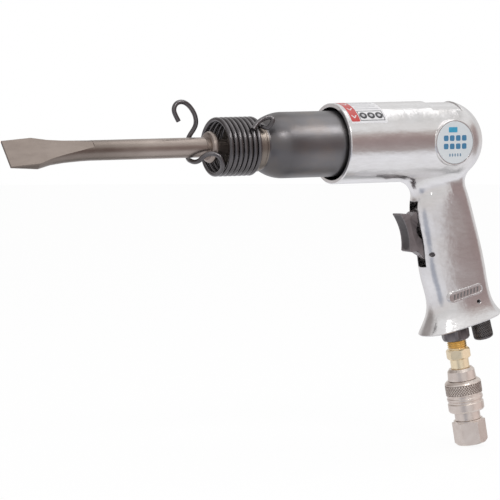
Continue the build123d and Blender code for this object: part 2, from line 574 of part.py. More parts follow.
# ================= air regulator =================
with BuildPart() as regulator:
    lathe([(REG_TOP, 0), (REG_TOP, REG_R - 0.4), (REG_TOP + 0.4, REG_R), (REG_GROOVE_D - 1.5, REG_R),
           (REG_GROOVE_D - 1.5, 5.0), (REG_GROOVE_D + 1.5, 5.0), (REG_GROOVE_D + 1.5, REG_R),
           (83.6, REG_R), (83.6, 4.9), (85.4, 4.9), (85.4, REG_R), (BASE_D - 1.1, REG_R),
           (BASE_D - 1.1, KNOB_R), (KNOB_KNURL[0], KNOB_R), (KNOB_KNURL[0], KNOB_R - KNURL_DEPTH),
           (KNOB_KNURL[1], KNOB_R - KNURL_DEPTH), (KNOB_KNURL[1], KNOB_R), (KNOB_END - 0.7, KNOB_R - 0.3),
           (KNOB_END, KNOB_R - 1.4), (KNOB_END, 0)], plane=REG, axis=REG_AXIS)
    # hollow top, and the side port that the cross passage opens into
    lathe([(REG_TOP - 1, 0), (REG_TOP - 1, 4.2), (70, 4.2), (70, 0)], plane=REG, axis=REG_AXIS,
          mode=Mode.SUBTRACT)
    rod(Plane(origin=shifted(REG_O, DOWN, CROSS_D), z_dir=tuple(-v for v in REAR)), (0, 0), 3.0, 8,
        mode=Mode.SUBTRACT)
    # driver slot in the end of the knob
    with BuildSketch(square_to(REG_O, DOWN, KNOB_END - 1.2)) as driver:
        Rectangle(1.4, 20)
    extrude(driver.sketch, amount=3, mode=Mode.SUBTRACT)
save("regulator", regulator)

ring("regulator_seal", REG, REG_AXIS, 84.5, 5.66, 0.74)

with BuildPart() as regulator_pin:
    with BuildSketch(SIDE) as rolled:
        with Locations((REG_PIN_S, -REG_GROOVE_D)):
            Circle(REG_PIN_R)
            Circle(REG_PIN_R - 0.45, mode=Mode.SUBTRACT)
            with Locations((0, REG_PIN_R)):
                Rectangle(0.4, 2, mode=Mode.SUBTRACT)
    extrude(rolled.sketch, amount=REG_PIN_L - 2.4, both=True)
save("regulator_pin", regulator_pin)

# ================= inlet bushing, nipple and quick coupler =================
first, last = BUSHING_HEX
with BuildPart() as inlet_bushing:
    lathe(thread(-16.5, -3, BUSHING_R, BUSHING_R - 0.8, 1.5)
          + [(first, BUSHING_R - 0.8), (first, NIPPLE_R + 0.05), (-4, NIPPLE_R + 0.05), (-4, 4.5),
             (-16.5, 4.5)], plane=INLET, axis=INLET_AXIS)
    hexagon(square_to(INLET_O, INLET_WAY, first), BUSHING_FLATS, last - first, turn=BUSHING_TURN)
    lathe([(first - 1, 0), (first - 1, NIPPLE_R + 0.05), (last + 1, NIPPLE_R + 0.05), (last + 1, 0)],
          plane=INLET, axis=INLET_AXIS, mode=Mode.SUBTRACT)
    # both ends of the hexagon turned to a cone
    lathe([(first - 0.1, 12), (first - 0.1, 8.7), (first + 1.2, 10.0), (first + 1.2, 12)],
          plane=INLET, axis=INLET_AXIS, mode=Mode.SUBTRACT)
    lathe([(last - 2.2, 12), (last - 2.2, 10.0), (last + 0.1, 8.2), (last + 0.1, 12)],
          plane=INLET, axis=INLET_AXIS, mode=Mode.SUBTRACT)
save("inlet_bushing", inlet_bushing)

with BuildPart() as inlet_screen:
    lathe([(-3.95, 0), (-3.95, 6.3), (-3.25, 6.3), (-3.25, 0)], plane=INLET, axis=INLET_AXIS)
    with BuildSketch(square_to(INLET_O, INLET_WAY, -5)) as mesh:
        with HexLocations(0.95, 4, 4):
            Circle(0.5)
    extrude(mesh.sketch, amount=4, mode=Mode.SUBTRACT)
save("inlet_screen", inlet_screen)

with BuildPart() as nut:
    hexagon(square_to(INLET_O, INLET_WAY, 16.3), NIPPLE_FLATS, 6.6, turn=NIPPLE_TURN)
    lathe([(16.3, 7.0), (17.2, 8.0), (22.0, 8.0), (22.9, 7.0), (22.9, 2.8), (16.3, 2.8)], plane=INLET,
          axis=INLET_AXIS, mode=Mode.INTERSECT)

with BuildPart() as nipple:
    lathe(thread(-3.2, 15.6, NIPPLE_R, NIPPLE_R - 0.75, 1.34)
          + [(16.3, NIPPLE_R - 0.75), (16.3, 7.0), (22.9, 7.0), (22.9, 6.1), (29.2, 6.1), (29.7, PLUG_R),
             (39.2, PLUG_R), (40.4, PLUG_NECK_R), (42.6, PLUG_NECK_R), (43.8, PLUG_R), (45.6, PLUG_R),
             (46.6, 4.7), (49.4, 4.7), (50, 4.2), (50, 2.8), (-3.2, 2.8)], plane=INLET, axis=INLET_AXIS)
    add(nut.part)
save("nipple", nipple)

with BuildPart() as coupler_body:
    lathe([(29.3, PLUG_R + 0.9), (29.3, 7.6), (31.0, 8.9), (36.0, 9.3), (37.0, 9.3), (37.0, BODY_R),
           (SNAP_T[0], BODY_R), (SNAP_T[0], 7.7), (SNAP_T[1], 7.7), (SNAP_T[1], BODY_R), (63.9, BODY_R),
           (63.9, 6.9), (50.6, 6.9), (50.6, 4.8), (49.4, 4.8), (49.4, 6.6), (47.2, 6.6),
           (47.2, PLUG_R + 0.05), (30.2, PLUG_R + 0.05)], plane=INLET, axis=INLET_AXIS)
    for angle in range(0, 360, 60):
        rod(Plane(origin=shifted(INLET_O, INLET_WAY, BALL_T), z_dir=ball_way(angle)), (0, 0), BALL_R + 0.03,
            BODY_R + 1, mode=Mode.SUBTRACT)
save("coupler_body", coupler_body)

with BuildPart() as coupler_balls:
    for angle in range(0, 360, 60):
        with Locations(shifted(shifted(INLET_O, INLET_WAY, BALL_T), ball_way(angle), BALL_RAD)):
            Sphere(BALL_R)
save("coupler_balls", coupler_balls)

with BuildPart() as coupler_sleeve:
    lathe([(37.2, BODY_R + 0.05), (37.2, 10.2), (38.4, 11.6), (39.2, SLEEVE_R),
           (SLEEVE_KNURL[0], SLEEVE_R), (SLEEVE_KNURL[0], SLEEVE_R - KNURL_DEPTH),
           (SLEEVE_KNURL[1], SLEEVE_R - KNURL_DEPTH), (SLEEVE_KNURL[1], SLEEVE_R), (46.6, SLEEVE_R),
           (47.2, 11.5), (48.4, 11.5), (48.8, 11.8), (50.2, 11.8), (50.8, 11.2), (52.0, 11.2),
           (52.6, 11.8), (57.0, 11.8), (58.0, 11.2), (58.0, 10.5), (46.4, 10.5), (46.4, BODY_R + 0.05)],
          plane=INLET, axis=INLET_AXIS)
save("coupler_sleeve", coupler_sleeve)

coil("coupler_spring", shifted(INLET_O, INLET_WAY, 46.95), INLET_WAY, 9.45, 0.5, SNAP_T[0] - 47.5, 4)
ring("coupler_seal", INLET, INLET_AXIS, 48.3, 5.67, 0.9)

with BuildPart() as snap_ring:
    first, last = SNAP_T[0] + 0.03, SNAP_T[1] - 0.03
    lathe([(first, 7.75), (first, 10.4), (last, 10.4), (last, 7.75)], plane=INLET, axis=INLET_AXIS, arc=330)
save("coupler_snap_ring", snap_ring)

with BuildPart() as coupler_valve:
    lathe([(50.7, 0), (50.7, 4.0), (51.2, 6.7), (53.6, 6.7), (53.6, 4.6), (58.4, 4.6), (58.4, 3.4),
           (52.4, 3.4), (52.4, 0)], plane=INLET, axis=INLET_AXIS)
    for angle in (0, 90):
        rod(Plane(origin=shifted(INLET_O, INLET_WAY, 55.8), z_dir=ball_way(angle)), (0, 0), 1.3, 8,
            mode=Mode.SUBTRACT, both=True)
save("coupler_valve", coupler_valve)

with BuildPart() as coupler_tail:
    lathe(thread(58.6, 63.6, 6.85, 6.2, 1.25)
          + [(64.0, 6.2), (64.0, 9.6), (65.0, 9.6), (65.0, 3.0), (58.6, 3.0)], plane=INLET, axis=INLET_AXIS)
    hexagon(square_to(INLET_O, INLET_WAY, 65), TAIL_FLATS, TAIL_END - 65)
    lathe([(64, 0), (64, 3.0), (TAIL_END - HOSE_L, 3.0), (TAIL_END - HOSE_L, HOSE_R), (TAIL_END + 1, HOSE_R),
           (TAIL_END + 1, 0)], plane=INLET, axis=INLET_AXIS, mode=Mode.SUBTRACT)
    lathe([(TAIL_END - 1.6, 13), (TAIL_END - 1.6, 11.0), (TAIL_END + 0.1, 9.4), (TAIL_END + 0.1, 13)],
          plane=INLET, axis=INLET_AXIS, mode=Mode.SUBTRACT)
save("coupler_tail", coupler_tail)
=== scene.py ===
"""Looks of the pneumatic air hammer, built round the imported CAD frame. Metres, row frame."""
import json
import math

import bmesh
import bpy
from mathutils import Matrix, Vector

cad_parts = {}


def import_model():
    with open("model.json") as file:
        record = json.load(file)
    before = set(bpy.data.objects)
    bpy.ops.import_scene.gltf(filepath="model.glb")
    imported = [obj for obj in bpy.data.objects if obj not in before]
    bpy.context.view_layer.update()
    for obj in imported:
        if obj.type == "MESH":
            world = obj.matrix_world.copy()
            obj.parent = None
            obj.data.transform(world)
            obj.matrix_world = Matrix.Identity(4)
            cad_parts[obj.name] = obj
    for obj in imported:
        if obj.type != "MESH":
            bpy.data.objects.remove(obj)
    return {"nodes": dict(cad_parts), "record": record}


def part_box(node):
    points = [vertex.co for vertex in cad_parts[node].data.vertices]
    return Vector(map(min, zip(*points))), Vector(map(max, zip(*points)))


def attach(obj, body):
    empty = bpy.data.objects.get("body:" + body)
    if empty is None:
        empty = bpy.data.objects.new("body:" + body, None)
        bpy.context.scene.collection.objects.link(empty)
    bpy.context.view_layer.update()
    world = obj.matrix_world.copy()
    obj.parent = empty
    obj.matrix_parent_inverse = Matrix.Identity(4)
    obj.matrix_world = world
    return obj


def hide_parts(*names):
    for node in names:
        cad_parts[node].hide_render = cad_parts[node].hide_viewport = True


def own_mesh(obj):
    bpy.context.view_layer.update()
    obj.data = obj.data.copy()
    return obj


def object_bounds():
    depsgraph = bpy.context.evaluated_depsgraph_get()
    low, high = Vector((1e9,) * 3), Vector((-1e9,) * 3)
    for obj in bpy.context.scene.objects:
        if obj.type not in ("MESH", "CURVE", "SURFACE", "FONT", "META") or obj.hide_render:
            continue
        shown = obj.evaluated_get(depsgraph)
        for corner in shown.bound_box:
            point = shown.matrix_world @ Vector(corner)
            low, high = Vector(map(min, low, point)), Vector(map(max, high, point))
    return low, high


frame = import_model()
CAD_BOX = [list(v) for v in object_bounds()]
NODES = frame["nodes"]
MM = 0.001

# ---------------------------------------------------------------- places taken from the CAD
GRIP_TILT, INLET_TILT = math.radians(15.0), math.radians(10.2)
DOWN = Vector((math.sin(GRIP_TILT), 0, -math.cos(GRIP_TILT)))
REAR = Vector((math.cos(GRIP_TILT), 0, math.sin(GRIP_TILT)))
GRIP_O = Vector((82.0, 0, -30.0)) * MM
REG_O = GRIP_O + REAR * 8.0 * MM
INLET_WAY = Vector((math.sin(INLET_TILT), 0, -math.cos(INLET_TILT)))
INLET_O = Vector((93.8, 0, -120.5)) * MM
HOUSING_R = 26.0 * MM
THREAD_END = 135.6 * MM             # how far below the bore the nipple's thread ends
PLATE_O = GRIP_O - REAR * 6.3 * MM + DOWN * 69.8 * MM               # middle of the grip's plate
PLATE_OUT = 14.21 * MM


# ---------------------------------------------------------------- materials
class Tree:
    """Short calls for building one material's nodes."""

    def __init__(self, name):
        self.material = bpy.data.materials.new(name)
        self.material.use_nodes = True
        self.nodes = self.material.node_tree.nodes
        self.links = self.material.node_tree.links
        self.bsdf = self.nodes["Principled BSDF"]
        self.place = self.add("ShaderNodeTexCoord").outputs["Object"]

    def add(self, kind, **settings):
        node = self.nodes.new(kind)
        for key, value in settings.items():
            setattr(node, key, value)
        return node

    def join(self, source, target):
        self.links.new(source, target)

    def fill(self, node, **values):
        for key, value in values.items():
            socket = node.inputs[key.replace("_", " ")]
            if isinstance(value, bpy.types.NodeSocket):
                self.join(value, socket)
            else:
                socket.default_value = value
        return node

    def noise(self, scale, detail=4.0, rough=0.55, stretch=(1, 1, 1), shift=0.0):
        mapping = self.add("ShaderNodeMapping")
        mapping.inputs["Scale"].default_value = stretch
        mapping.inputs["Location"].default_value = (shift, shift * 0.7, -shift)
        self.join(self.place, mapping.inputs["Vector"])
        node = self.add("ShaderNodeTexNoise")
        self.fill(node, Vector=mapping.outputs["Vector"], Scale=scale, Detail=detail, Roughness=rough)
        return node.outputs["Fac"]

    def ramp(self, value, *stops):
        node = self.add("ShaderNodeValToRGB")
        self.join(value, node.inputs["Fac"])
        while len(node.color_ramp.elements) < len(stops):
            node.color_ramp.elements.new(0.5)
        for element, (place, colour) in zip(node.color_ramp.elements, stops):
            element.position = place
            element.color = (*colour, 1) if isinstance(colour, tuple) else (colour, colour, colour, 1)
        return node.outputs["Color"]

    def mix(self, factor, first, second):
        node = self.add("ShaderNodeMix", data_type="RGBA")
        for socket, value in ((node.inputs[0], factor), (node.inputs[6], first), (node.inputs[7], second)):
            if isinstance(value, bpy.types.NodeSocket):
                self.join(value, socket)
            else:
                socket.default_value = (*value, 1) if isinstance(value, tuple) else value
        return node.outputs[2]

    def math(self, operation, first, second=0.0):
        node = self.add("ShaderNodeMath", operation=operation)
        for socket, value in zip(node.inputs, (first, second)):
            if isinstance(value, bpy.types.NodeSocket):
                self.join(value, socket)
            else:
                socket.default_value = value
        return node.outputs[0]

    def axis(self, index):
        node = self.add("ShaderNodeSeparateXYZ")
        self.join(self.place, node.inputs[0])
        return node.outputs[index]

    def bump(self, height, strength, distance, normal=None):
        node = self.add("ShaderNodeBump")
        self.fill(node, Height=height, Strength=strength, Distance=distance)
        if normal is not None:
            self.join(normal, node.inputs["Normal"])
        return node.outputs["Normal"]

    def soft_edge(self, radius):
        node = self.add("ShaderNodeBevel", samples=4)
        node.inputs["Radius"].default_value = radius
        return node.outputs["Normal"]


def surface(name, colour, other, rough, metallic, scale=120.0, grain=2500.0, grain_depth=0.00001,
            stretch=(1, 1, 1), edge=0.0, spread=0.08, coat=0.0):
    """A finish with drifting colour and roughness, fine grain, and softened edges."""
    t = Tree(name)
    drift = t.ramp(t.noise(scale, 5.0, 0.6, stretch), (0.35, 0.0), (0.7, 1.0))
    base = t.mix(drift, colour, other)
    shine = t.ramp(t.noise(scale * 2.7, 4.0, 0.6, stretch, 3.1),
                   (0.3, max(rough - spread, 0.03)), (0.75, rough + spread))
    normal = t.soft_edge(edge) if edge else None
    normal = t.bump(t.noise(grain, 3.0, 0.6, stretch, 7.7), 0.5, grain_depth, normal)
    t.fill(t.bsdf, Base_Color=base, Roughness=shine, Metallic=metallic, Normal=normal, Coat_Weight=coat)
    return t


def base_of(t):
    """What the material's base colour comes from so far."""
    return t.bsdf.inputs["Base Color"].links[0].from_socket


def repaint(t, factor, colour):
    """Another colour where factor is 1, over whatever the material had."""
    t.join(t.mix(factor, base_of(t), colour), t.bsdf.inputs["Base Color"])


def aluminium():
    """Hand-polished casting: wavy, with smeared polishing marks and faint warm stains."""
    t = Tree("polished_aluminium")
    stain = t.ramp(t.noise(38.0, 6.0, 0.62, (0.6, 1, 1.3)), (0.42, 0.0), (0.72, 1.0))
    base = t.mix(stain, (0.85, 0.84, 0.845), (0.79, 0.765, 0.755))
    fine = t.ramp(t.noise(420.0, 5.0, 0.7, (0.25, 1, 1), 2.0), (0.4, 0.0), (0.8, 1.0))
    base = t.mix(t.math("MULTIPLY", fine, 0.3), base, (0.62, 0.59, 0.58))
    shine = t.ramp(t.noise(90.0, 6.0, 0.65, (0.35, 1, 1), 5.0), (0.3, 0.13), (0.75, 0.28))
    wave = t.noise(52.0, 4.0, 0.55, (0.7, 1, 1), 9.0)
    normal = t.bump(wave, 0.7, 0.0008, t.soft_edge(0.0005))
    normal = t.bump(t.noise(230.0, 5.0, 0.65, (0.9, 0.5, 0.5), 1.0), 0.45, 0.00016, normal)
    normal = t.bump(t.noise(2600.0, 2.0, 0.5), 0.25, 0.00001, normal)
    t.fill(t.bsdf, Base_Color=base, Roughness=shine, Metallic=1.0, Normal=normal)
    return t.material


def barrel_finish():
    """Black oxide with brownish handling marks and a painted dark reflection over the dome; the threaded nose
    is left as tan bare steel.
    """
    t = Tree("black_oxide_barrel")
    patch = t.ramp(t.noise(60.0, 6.0, 0.6, (0.7, 1, 1)), (0.45, 0.0), (0.75, 1.0))
    black = t.mix(patch, (0.205, 0.198, 0.204), (0.245, 0.215, 0.198))
    tan = t.mix(t.noise(900.0, 4.0, 0.6, (1, 0.05, 0.05)), (0.33, 0.285, 0.245), (0.16, 0.135, 0.12))
    at_nose = t.ramp(t.math("ADD", t.math("MULTIPLY", t.axis(0), 60.0), 3.725), (0.44, 1.0), (0.46, 0.0))
    # Painted reflection: the dome is darkened to stand for the dark band that the barrel mirrors.
    painted_dome_shade = t.ramp(t.math("ADD", t.math("MULTIPLY", t.axis(0), 20.0), 1.0), (0.2, 1.0), (0.55, 0.0))
    black = t.mix(t.math("MULTIPLY", painted_dome_shade, 0.45), black, (0.06, 0.057, 0.062))
    base = t.mix(at_nose, black, tan)
    shine = t.ramp(t.noise(160.0, 5.0, 0.6, (0.4, 1, 1), 4.0), (0.3, 0.32), (0.75, 0.44))
    normal = t.bump(t.noise(1500.0, 3.0, 0.6, (3.0, 0.4, 0.4)), 0.3, 0.00002, t.soft_edge(0.0003))
    t.fill(t.bsdf, Base_Color=base, Roughness=shine, Metallic=0.92, Normal=normal)
    return t.material


def chisel_finish():
    """Brownish tool steel, drawn along its length; darker towards the blade end."""
    t = surface("chisel_steel", (0.42, 0.36, 0.325), (0.34, 0.285, 0.255), 0.36, 0.95, 90.0, 1800.0,
                0.00003, (0.45, 1, 1), 0.0002)
    pits = t.ramp(t.noise(900.0, 3.0, 0.6), (0.68, 0.0), (0.74, 1.0))
    repaint(t, t.math("MULTIPLY", pits, 0.5), (0.20, 0.16, 0.13))
    blade = t.ramp(t.math("ADD", t.math("MULTIPLY", t.axis(0), 20.0), 3.5), (0.15, 1.0), (0.85, 0.0))
    repaint(t, t.math("MULTIPLY", blade, 0.62), (0.17, 0.14, 0.122))
    return t.material


def dark_metal():
    """Dull black-grey coating, rubbed lighter along its edges."""
    colour = (0.088, 0.079, 0.081)
    t = surface("dark_metal", colour, tuple(c * 0.72 for c in colour), 0.40, 0.55, 150.0, 1900.0, 0.00003,
                edge=0.0004)
    worn = t.ramp(t.add("ShaderNodeNewGeometry").outputs["Pointiness"], (0.52, 0.0), (0.6, 1.0))
    repaint(t, worn, tuple(c * 3.2 for c in colour))
    return t.material


def brass_finish():
    """Pale satin brass; the rolled thread is a deeper gold than the turned faces."""
    t = surface("satin_brass", (0.98, 0.84, 0.60), (0.93, 0.78, 0.54), 0.33, 1.0, 170.0, 2000.0, 0.00001,
                edge=0.0003)
    below = t.math("MULTIPLY", t.axis(2), -1 / MM)
    past = t.math("MULTIPLY", t.math("SUBTRACT", below, THREAD_END / MM), 0.5)
    repaint(t, t.ramp(past, (0.2, 1.0), (0.5, 0.0)), (0.90, 0.65, 0.29))
    return t.material


FINISH = {
    "cast_aluminium": aluminium(),
    "black_oxide_steel": barrel_finish(),
    "spring_steel": surface("spring_wire", (0.135, 0.125, 0.13), (0.095, 0.087, 0.09), 0.30, 0.95, 140.0,
                            1400.0, 0.000004, coat=0.5).material,
    "tool_steel": chisel_finish(),
    "ground_steel": surface("ground_steel", (0.62, 0.61, 0.60), (0.50, 0.48, 0.47), 0.24, 1.0,
                            200.0, 2400.0, 0.00001, (0.2, 1, 1), 0.0002).material,
    "dark_metal": dark_metal(),
    "brass": brass_finish(),
    "worn_dark": surface("worn_dark", (0.26, 0.243, 0.24), (0.17, 0.157, 0.155), 0.42, 0.9, 300.0).material,
    # Painted shade for the knob knurl's hollows.
    "knurl_root_painted_shade": surface("knurl_root_painted_shade", (0.045, 0.04, 0.04), (0.03, 0.026, 0.026), 0.5, 0.9, 300.0).material,
    "nickel": surface("satin_nickel", (0.80, 0.72, 0.66), (0.70, 0.61, 0.555), 0.34, 1.0, 150.0, 2200.0,
                      0.000004, edge=0.0003).material,
    # Painted shade for the sleeve knurl's hollows.
    "nickel_root_painted_shade": surface("nickel_root_painted_shade", (0.20, 0.15, 0.12), (0.14, 0.10, 0.08), 0.5, 0.9, 300.0).material,
    "rubber": surface("black_rubber", (0.018, 0.018, 0.019), (0.03, 0.03, 0.03), 0.6, 0.0).material,
    "badge_face": surface("badge_face", (0.74, 0.80, 0.83), (0.82, 0.86, 0.88), 0.16, 0.0, 60.0, 900.0,
                          0.000005, edge=0.0002, spread=0.04, coat=0.6).material,
    "label_film": surface("label_film", (0.86, 0.86, 0.88), (0.80, 0.80, 0.82), 0.30, 0.0, 90.0, 1400.0,
                          0.000005, spread=0.05, coat=0.3).material,
}
SLOTS = {row["node"]: row["material_slot"] for row in frame["record"]["subparts"]}
for name, obj in NODES.items():
    obj.data.materials.clear()
    obj.data.materials.append(FINISH[SLOTS[name]])


def ink(name, colour):
    """Printed colour: slightly uneven, under the film's gloss."""
    return surface(name, colour, tuple(c * 0.86 for c in colour), 0.32, 0.0, 260.0, 1800.0, 0.000004,
                   spread=0.05, coat=0.3).material


# ---------------------------------------------------------------- mesh helpers
def piece(name, bm, body, finish, smooth=True):
    """Turns a bmesh into a shown piece that rides on a CAD body."""
    bmesh.ops.recalc_face_normals(bm, faces=bm.faces)
    mesh = bpy.data.meshes.new(name)
    bm.to_mesh(mesh)
    bm.free()
    for polygon in mesh.polygons:
        polygon.use_smooth = smooth
    obj = bpy.data.objects.new(name, mesh)
    bpy.context.scene.collection.objects.link(obj)
    mesh.materials.append(finish)
    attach(obj, body)
    return obj


def line_frame(origin, way):
    """Axes of a straight line: a point at (t, radius, angle) round it."""
    side = Vector((0, 1, 0))
    up = way.cross(side).normalized()

    def at(t, radius, angle):
        return origin + way * t + (side * math.cos(angle) + up * math.sin(angle)) * radius
    return at


def knurled(name, origin, way, start, end, inner, outer, teeth, lean, depth, body, root, crest):
    """A closed band of diamond knurl round a line; lengths in metres. Root and crest are finishes; the root
    finish is a painted shade in the knurl's hollows.
    """
    at = line_frame(origin, way)
    around, along = teeth * 8, max(int((end - start) / (depth * 0.45)), 8)
    bm = bmesh.new()
    rows = []
    for j in range(along + 1):
        t = start + (end - start) * j / along
        fade = min(1.0, min(j, along - j) / 2.5)
        row = []
        for i in range(around):
            angle = 2 * math.pi * i / around
            a = teeth * angle + lean * (t - start)
            b = teeth * angle - lean * (t - start)
            ridge = min(abs(math.sin(a / 2)), abs(math.sin(b / 2)))
            radius = outer - depth * (1 - min(1.0, ridge * 1.9)) - depth * (1 - fade) * 0.8
            row.append(bm.verts.new(at(t, radius, angle)))
        rows.append(row)
    for t, radius in ((end, inner), (start, inner)):
        rows.append([bm.verts.new(at(t, radius, 2 * math.pi * i / around)) for i in range(around)])
    rows.append(rows[0])
    for low, high in zip(rows, rows[1:]):
        for i in range(around):
            k = (i + 1) % around
            bm.faces.new((low[i], low[k], high[k], high[i]))
    # Faces nearer the axis than the middle keep the root finish, painted shade in the hollows; the rest take
    # the crest finish.
    middle = outer - depth * 0.3
    for face in bm.faces:
        spot = face.calc_center_median() - origin
        if (spot - way * spot.dot(way)).length > middle:
            face.material_index = 1
    obj = piece(name, bm, body, root)
    obj.data.materials.append(crest)
    return obj


def sticker(name, outline, surface_at, thick, body, finish, slice_at=0.0005):
    """A thin closed patch laid on a surface. outline is in the patch's own (u, v), in metres, and
    surface_at(u, v, height) gives the place on the surface. Cuts along v let it follow a curve."""
    bm = bmesh.new()
    bm.faces.new([bm.verts.new((u, v, 0)) for u, v in outline])
    low, high = min(v for _, v in outline), max(v for _, v in outline)
    for k in range(1, int((high - low) / slice_at) + 1):
        bmesh.ops.bisect_plane(bm, geom=bm.verts[:] + bm.edges[:] + bm.faces[:],
                               plane_co=(0, low + k * slice_at, 0), plane_no=(0, 1, 0))
    top = bmesh.ops.extrude_face_region(bm, geom=bm.faces[:])
    for vert in top["geom"]:
        if isinstance(vert, bmesh.types.BMVert):
            vert.co.z = thick
    for vert in bm.verts:
        vert.co = surface_at(vert.co.x, vert.co.y, vert.co.z)
    return piece(name, bm, body, finish, smooth=False)


def rounded(cx, cy, width, height, corner, steps=5):
    """Outline of a rectangle with round corners."""
    points = []
    for k, (sx, sy) in enumerate(((1, 1), (-1, 1), (-1, -1), (1, -1))):
        ox, oy = cx + sx * (width / 2 - corner), cy + sy * (height / 2 - corner)
        for i in range(steps + 1):
            a = math.pi / 2 * (k + i / steps)
            points.append((ox + corner * math.cos(a), oy + corner * math.sin(a)))
    return points


def disc(cx, cy, radius, steps=28):
    """Outline of a circle."""
    return [(cx + radius * math.cos(2 * math.pi * i / steps), cy + radius * math.sin(2 * math.pi * i / steps))
            for i in range(steps)]


# ---------------------------------------------------------------- details that ride on the CAD
# The knurls' root finishes paint shade into their hollows.
knurled("knob_knurl", REG_O, DOWN, 91.45 * MM, 104.55 * MM, 6.0 * MM, 6.58 * MM, 26, 4000.0, 0.40 * MM,
        "regulator", FINISH["knurl_root_painted_shade"], FINISH["worn_dark"])
knurled("sleeve_knurl", INLET_O, INLET_WAY, 39.65 * MM, 46.15 * MM, 11.4 * MM, 12.02 * MM, 40, 3350.0,
        0.4 * MM, "coupler_sleeve", FINISH["nickel_root_painted_shade"], FINISH["nickel"])


def shortening(node, body):
    """A copy of a CAD spring that rides on the given body, in place of the hidden CAD spring."""
    obj = bpy.data.objects.new(f"{node}_wire", NODES[node].data.copy())
    bpy.context.scene.collection.objects.link(obj)
    obj.matrix_world = NODES[node].matrix_world.copy()
    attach(obj, body)
    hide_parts(node)
    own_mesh(obj)


shortening("throttle_spring", "handle")
shortening("coupler_spring", "coupler")


def on_housing(x, arc, height):
    """Point on the round housing: arc is measured from the crest down the near side."""
    angle = math.pi / 2 + arc / HOUSING_R
    radius = HOUSING_R + 0.00002 + height
    return Vector((x, radius * math.cos(angle), radius * math.sin(angle)))


WHITE_INK = ink("label_white", (0.84, 0.84, 0.86))
RED_INK = ink("label_red", (0.62, 0.055, 0.05))
BLACK_INK = ink("label_black", (0.035, 0.035, 0.04))
GREY_INK = ink("label_grey", (0.60, 0.60, 0.63))
LABEL_MID, LABEL_TALL = 9.98 * MM, 31.7 * MM      # arc of the label's middle, and its height
lower = LABEL_MID + LABEL_TALL / 2               # arc of its lower edge
sticker("label_band", rounded(5.7 * MM, LABEL_MID, 6.4 * MM, LABEL_TALL - 1.6 * MM, 0.8 * MM), on_housing,
        0.00002, "handle", RED_INK)
CHEVRON = ((3.6, 1.6), (5.7, -1.2), (7.8, 1.6), (7.0, 1.6), (5.7, -0.1), (4.4, 1.6))
for n in range(3):
    sticker(f"label_chevron_{n}", [(x * MM, lower - (4.4 + 7.2 * n + y) * MM) for x, y in CHEVRON],
            on_housing, 0.00004, "handle", WHITE_INK)
for n, (cx, cy, width, height) in enumerate((
        (18.6, lower / MM - 1.6, 18.3, 0.45), (18.6, lower / MM - 9.6, 18.3, 0.45),
        (9.6, lower / MM - 5.6, 0.45, 8.45), (27.5, lower / MM - 5.6, 0.45, 8.45))):
    sticker(f"label_frame_{n}", rounded(cx * MM, cy * MM, width * MM, height * MM, 0.15 * MM), on_housing,
            0.00002, "handle", BLACK_INK)
for n, x in enumerate((12.7, 18.6, 24.5)):
    sticker(f"label_dot_{n}", disc(x * MM, lower - 5.6 * MM, 2.7 * MM), on_housing, 0.00002, "handle",
            BLACK_INK)
    sticker(f"label_dot_face_{n}", disc(x * MM, lower - 5.6 * MM, 1.15 * MM, 20), on_housing, 0.00005,
            "handle", GREY_INK)
for n in range(6):
    sticker(f"label_line_{n}", rounded(18.0 * MM, lower - (12.2 + 2.5 * n) * MM, (18.6 - 3.0 * (n % 2)) * MM,
                                       0.7 * MM, 0.2 * MM), on_housing, 0.00002, "handle", GREY_INK)

BADGE_X, BADGE_Y = 77.0 * MM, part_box("badge")[0][1]


def on_badge(u, v, height):
    """Point on the badge's flat face, from its middle."""
    return Vector((BADGE_X + u, BADGE_Y - 0.00001 - height, v))


CYAN_INK = ink("badge_cyan", (0.06, 0.42, 0.66))
BLUE_INK = ink("badge_blue", (0.075, 0.26, 0.46))
STEEL_INK = ink("badge_steel", (0.22, 0.35, 0.48))
sticker("badge_flag", rounded(-1.6 * MM, 8.3 * MM, 6.6 * MM, 3.4 * MM, 0.4 * MM), on_badge, 0.00004,
        "handle", CYAN_INK)
for row, v in enumerate((2.9, -2.4)):
    for n, u in enumerate((-6.9, -2.3, 2.3, 6.9)):
        sticker(f"badge_block_{row}_{n}", rounded(u * MM, v * MM, 3.5 * MM, 3.6 * MM, 0.9 * MM), on_badge,
                0.00004, "handle", BLUE_INK)
for n in range(5):
    sticker(f"badge_tick_{n}", rounded((2.0 * n - 4.0) * MM, -8.0 * MM, 1.0 * MM, 1.9 * MM, 0.3 * MM),
            on_badge, 0.00004, "handle", STEEL_INK)


def on_plate(s, d, height):
    """Point on the grip's plate, from its middle."""
    return PLATE_O + REAR * s + DOWN * d - Vector((0, PLATE_OUT + height, 0))


# Painted shade: the raised plate marks are coloured dark to stand for the shading along embossed lettering.
PLATE_MARK_SHADE_INK = ink("plate_mark_painted_shade", (0.20, 0.19, 0.19))
SLANTED_BAR = ((-1.0, 1.5), (-0.1, 1.5), (1.0, -1.5), (0.1, -1.5))
for n in range(8):
    sticker(f"plate_bar_{n}", [((2.6 * n - 9.1 + x) * MM, y * MM) for x, y in SLANTED_BAR], on_plate,
            0.00025, "handle", PLATE_MARK_SHADE_INK)


# ---------------------------------------------------------------- stage, light and camera
FLOOR_Z = CAD_BOX[0][2] - 0.0005
FLOOR_R = 3.0


